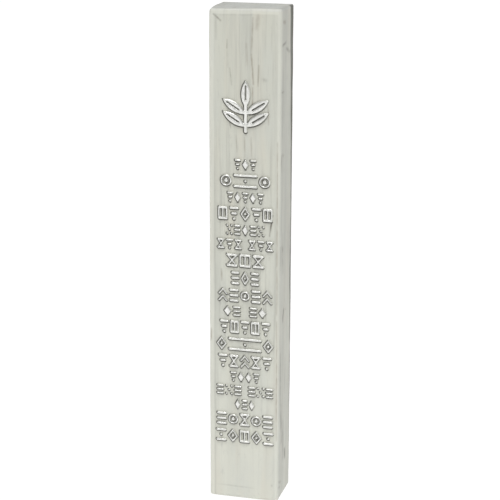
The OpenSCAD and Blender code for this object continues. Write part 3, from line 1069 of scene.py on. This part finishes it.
def cast_stone():
    """Off-white casting with soft upright streaks, and a grey-brown tone rubbed into every hollow. Painted
    light and shade: lighter towards the foot, a cool sheen on the top face, darker sides, shade below and
    left of the relief and along the sides' back edges.
    """
    s = Shader("cast_stone")
    cloud = s.noise((7, 7, 22), 3)
    streak = s.noise((1.1, 1.6, 34), 4, 0.6, 3.0)
    broad = s.noise((3.2, 3.2, 60), 3, 0.5, 15.0)
    fine = s.noise((0.35, 0.5, 9), 3, 0.6, 7.0)
    warm = s.noise((4, 4, 40), 2, 0.5, 11.0)
    blotch = s.noise((1.2, 2.2, 3.2), 3, 0.6, 19.0)
    height = s.span(s.axis("Z"), FOOT * MM, TOP * MM)
    upper = s.span(s.axis("Z"), FOOT * MM, (FOOT + 70) * MM, 0.25, 1.0)
    # Painted reflection: a cool grey sheen on the top face.
    top_painted_sheen = s.span(s.axis("Z"), (TOP - 0.9) * MM, (TOP - 0.5) * MM, 0, 0.6)
    streaks = [
        (s.span(broad, 0.45, 0.68, 0, 0.4), (0.47, 0.475, 0.425)),
        (s.span(streak, 0.5, 0.74, 0, 0.6), (0.43, 0.43, 0.38)),
        (s.span(fine, 0.52, 0.8, 0, 0.4), (0.42, 0.41, 0.36)),
    ]
    # Painted light: the casting is lighter towards the foot and darker towards the top, as the light falls
    # brighter low down.
    color = s.mix(height, (0.695, 0.70, 0.617), (0.605, 0.608, 0.53))
    color = s.mix(s.span(cloud, 0.35, 0.7, 0, 0.35), color, (0.58, 0.60, 0.56))
    color = s.mix(top_painted_sheen, color, (0.60, 0.615, 0.605))
    color = s.mix(s.span(warm, 0.5, 0.72, 0, 0.3), color, (0.66, 0.62, 0.52))
    for share, tint in streaks:
        color = s.mix(s.maths("MULTIPLY", upper, share), color, tint)
    color = s.mix(s.span(blotch, 0.56, 0.76, 0, 0.3), color, (0.45, 0.45, 0.41))
    color = s.mix(s.maths("MULTIPLY", s.field("worn"), 0.4), color, (0.76, 0.76, 0.68))
    gated = s.maths("MULTIPLY", s.field("line"), s.span(broad, 0.4, 0.62, 0.0, 0.25))
    color = s.mix(gated, color, (0.34, 0.34, 0.30))
    # The marks, and the painted shade on the sides.
    color = s.mix(s.field("dark"), color, (0.18, 0.175, 0.15))
    color = s.mix(s.field("brown"), color, (0.34, 0.25, 0.17))
    color = s.mix(s.maths("MULTIPLY", s.field("haze"), 0.04), color, (0.36, 0.355, 0.31))
    # Rubbed-in tone and painted shade beside the relief.
    color = s.mix(s.span(s.field("wash_and_shade"), 0.08, 0.78, 0, 0.97), color, (0.085, 0.082, 0.068))
    # The dark strip along the sides' back edges: rubbed-in stain and painted shade.
    edge_stain_and_shade = s.maths("MULTIPLY", s.field("edge_stain_and_shade"), s.span(streak, 0.25, 0.65, 0.75, 1.0))
    color = s.mix(s.maths("MULTIPLY", edge_stain_and_shade, 0.97), color, (0.085, 0.087, 0.07))
    rough = s.span(cloud, 0.3, 0.7, 0.42, 0.56)
    rough = s.maths("MAXIMUM", rough, s.maths("MULTIPLY", edge_stain_and_shade, 0.85))
    normal = s.bump(fine, 0.03, 0.5)
    normal = s.bump(s.noise((0.16, 0.16, 0.3), 2, 0.6, 5.0), 0.012, 0.5, normal)
    return s.finish(color, rough, normal)


def silvered_relief():
    """Rubbed silver over the casting: bright tops, and a dark tone left at the foot of every stroke, with
    painted shade that makes it heaviest on the strokes' lower left edges.
    """
    s = Shader("silvered_relief")
    cloud = s.noise((1.2, 1.2, 1.6), 3)
    grain = s.noise((0.16, 0.16, 0.22), 3, 0.6, 4.0)
    color = s.mix(s.span(cloud, 0.35, 0.7), (0.85, 0.85, 0.82), (0.73, 0.735, 0.70))
    color = s.mix(s.span(grain, 0.6, 0.8, 0, 0.3), color, (0.5, 0.49, 0.44))
    # Rubbed-in tone and painted shade at the strokes' edges.
    color = s.mix(s.span(s.field("wash_and_shade"), 0.25, 0.85), color, (0.07, 0.067, 0.055))
    rough = s.span(cloud, 0.3, 0.7, 0.26, 0.38)
    normal = s.bump(grain, 0.01, 0.5)
    return s.finish(color, rough, normal, Metallic=0.75)


def stopper_rubber():
    s = Shader("stopper_rubber")
    cloud = s.noise((3, 3, 3), 2)
    grain = s.noise((0.12, 0.12, 0.12), 3, 0.6, 2.0)
    color = s.mix(s.span(cloud, 0.3, 0.7), (0.36, 0.36, 0.335), (0.30, 0.30, 0.285))
    color = s.mix(s.span(grain, 0.66, 0.8, 0, 0.5), color, (0.6, 0.6, 0.56))
    rough = s.span(grain, 0.3, 0.7, 0.5, 0.66)
    return s.finish(color, rough, s.bump(grain, 0.02, 0.4), Subsurface_Weight=0.1)


def parchment():
    s = Shader("parchment")
    cloud = s.noise((5, 5, 9), 4)
    pores = s.noise((0.22, 0.22, 0.22), 3, 0.6, 6.0)
    fibres = s.noise((0.6, 0.6, 7), 4, 0.6, 9.0)
    color = s.mix(s.span(cloud, 0.3, 0.7), (0.74, 0.63, 0.43), (0.66, 0.53, 0.33))
    color = s.mix(s.span(fibres, 0.5, 0.8, 0, 0.35), color, (0.83, 0.76, 0.6))
    color = s.mix(s.span(pores, 0.62, 0.78, 0, 0.4), color, (0.42, 0.3, 0.17))
    normal = s.bump(pores, 0.03, 0.5, s.bump(fibres, 0.04, 0.4))
    return s.finish(color, s.span(cloud, 0.3, 0.7, 0.55, 0.72), normal)


def sleeve_film():
    s = Shader("sleeve_film")
    crease = s.noise((2.2, 2.2, 9), 3, 0.6, 3.0)
    color = s.mix(s.span(crease, 0.4, 0.7), (0.9, 0.92, 0.92), (0.8, 0.83, 0.83))
    s.material.blend_method = "BLEND"
    return s.finish(color, s.span(crease, 0.3, 0.7, 0.06, 0.16), s.bump(crease, 0.05, 0.5), Alpha=0.28)


CELL_SIZE = 0.28


def foam_tape():
    s = Shader("foam_tape")
    cells = s.node("ShaderNodeTexVoronoi", feature="F1")
    cells.inputs["Scale"].default_value = 1 / (CELL_SIZE * MM)
    s.wire(s.place, cells.inputs["Vector"])
    pore = s.span(cells.outputs["Distance"], 0.1, 0.75)
    cloud = s.noise((6, 6, 6), 2)
    color = s.mix(s.span(cloud, 0.3, 0.7), (0.84, 0.84, 0.81), (0.78, 0.78, 0.74))
    # Painted shade: each cell's pit is darker at its bottom.
    color = s.mix(s.span(pore, 0.0, 0.35, 0.3, 0.0), color, (0.5, 0.5, 0.47))
    return s.finish(color, s.span(cloud, 0.3, 0.7, 0.6, 0.75), s.bump(pore, 0.06, 0.5))


# --- stage ---

FLOOR_DROP = 1200.0
FLOOR_SIDE = 30000.0
FLOOR_GLOW = 0.2
CAMERA_AIM = (1.8, -16.0, 4.42)
CAMERA_AZIMUTH = 15.0
CAMERA_ELEVATION = 15.4
CAMERA_ROLL = 0.2
CAMERA_DISTANCE = 452.3
CAMERA_LENS = 110.8


def direction(azimuth, elevation):
    """Unit vector from the object towards a viewer. Azimuth 0 is straight in front, 90 is at the right."""
    a, e = math.radians(azimuth), math.radians(elevation)
    return Vector((math.sin(a) * math.cos(e), -math.cos(a) * math.cos(e), math.sin(e)))


def place_camera():
    data = bpy.data.cameras.new("camera")
    data.sensor_width = 36.0
    data.lens = CAMERA_LENS
    data.clip_start, data.clip_end = 0.01, 100.0
    camera = bpy.data.objects.new("camera", data)
    bpy.context.scene.collection.objects.link(camera)
    back = direction(CAMERA_AZIMUTH, CAMERA_ELEVATION)
    turn = (-back).to_track_quat("-Z", "Y").to_matrix().to_4x4()
    turn = turn @ Matrix.Rotation(math.radians(CAMERA_ROLL), 4, "Z")
    camera.matrix_world = Matrix.Translation((Vector(CAMERA_AIM) + back * CAMERA_DISTANCE) * MM) @ turn
    bpy.context.scene.camera = camera


def soft_sun(name, azimuth, elevation, spread, strength):
    """A broad light from far away. spread is its width in degrees."""
    data = bpy.data.lights.new(name, "SUN")
    data.angle = math.radians(spread)
    data.energy = strength
    light = bpy.data.objects.new(name, data)
    bpy.context.scene.collection.objects.link(light)
    light.rotation_mode = "QUATERNION"
    light.rotation_quaternion = direction(azimuth, elevation).to_track_quat("Z", "Y")


def floor_piece():
    """A white floor far below, so that it fills the lower background and never hides the object."""
    s = Shader("floor")
    cloud = s.noise((400, 400, 400), 2)
    color = s.mix(cloud, (0.96, 0.96, 0.96), (0.94, 0.94, 0.94))
    material = s.finish(color, 0.8, Emission_Color=(1, 1, 1, 1), Emission_Strength=FLOOR_GLOW)
    side, level = FLOOR_SIDE, FOOT - FLOOR_DROP
    corners = [(-side, -side, level), (side, -side, level), (side, side, level), (-side, side, level)]
    mesh = bpy.data.meshes.new("floor")
    mesh.from_pydata([tuple(c * MM for c in corner) for corner in corners], [], [(0, 1, 2, 3)])
    mesh.materials.append(material)
    floor = bpy.data.objects.new("floor", mesh)
    bpy.context.scene.collection.objects.link(floor)


# The world's strength at the horizon and in the sky, and the height at which it has fallen to that.
HORIZON_LIGHT = 1.0
SKY_LIGHT = 0.36
SKY_FROM = 0.25


def light_scene():
    """A white studio, bright all round and dimmer above, with one broad key light high in front."""
    world = bpy.data.worlds.new("studio")
    world.use_nodes = True
    tree = world.node_tree
    background = tree.nodes["Background"]
    background.inputs["Color"].default_value = (1.0, 1.0, 1.0, 1.0)
    place = tree.nodes.new("ShaderNodeTexCoord")
    split = tree.nodes.new("ShaderNodeSeparateXYZ")
    fade = tree.nodes.new("ShaderNodeMapRange")
    fade.interpolation_type = "SMOOTHSTEP"
    for key, number in zip(SPAN_INPUTS, (0.0, SKY_FROM, HORIZON_LIGHT, SKY_LIGHT)):
        fade.inputs[key].default_value = number
    tree.links.new(place.outputs["Generated"], split.inputs[0])
    tree.links.new(split.outputs["Z"], fade.inputs["Value"])
    tree.links.new(fade.outputs["Result"], background.inputs["Strength"])
    bpy.context.scene.world = world
    bpy.context.scene.view_settings.view_transform = "Standard"
    soft_sun("key", azimuth=7, elevation=68, spread=30, strength=1.84)


# --- build ---

EMBLEM_SHOULDER = 0.5
STROKE_SHOULDER = 0.36

place_camera()
light_scene()
floor_piece()

silver = silvered_relief()
relief_nodes = sorted(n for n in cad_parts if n.startswith(("emblem", "ornament")))
outlines = []
for node in relief_nodes:
    shoulder = EMBLEM_SHOULDER if node.startswith("emblem") else STROKE_SHOULDER
    outlines += relief_piece("silver_" + node, node, silver, shoulder)

block_piece(outlines, cast_stone())
stopper_piece(stopper_rubber())
parchment_piece(parchment())
sleeve_piece(sleeve_film())
tape_piece(foam_tape())
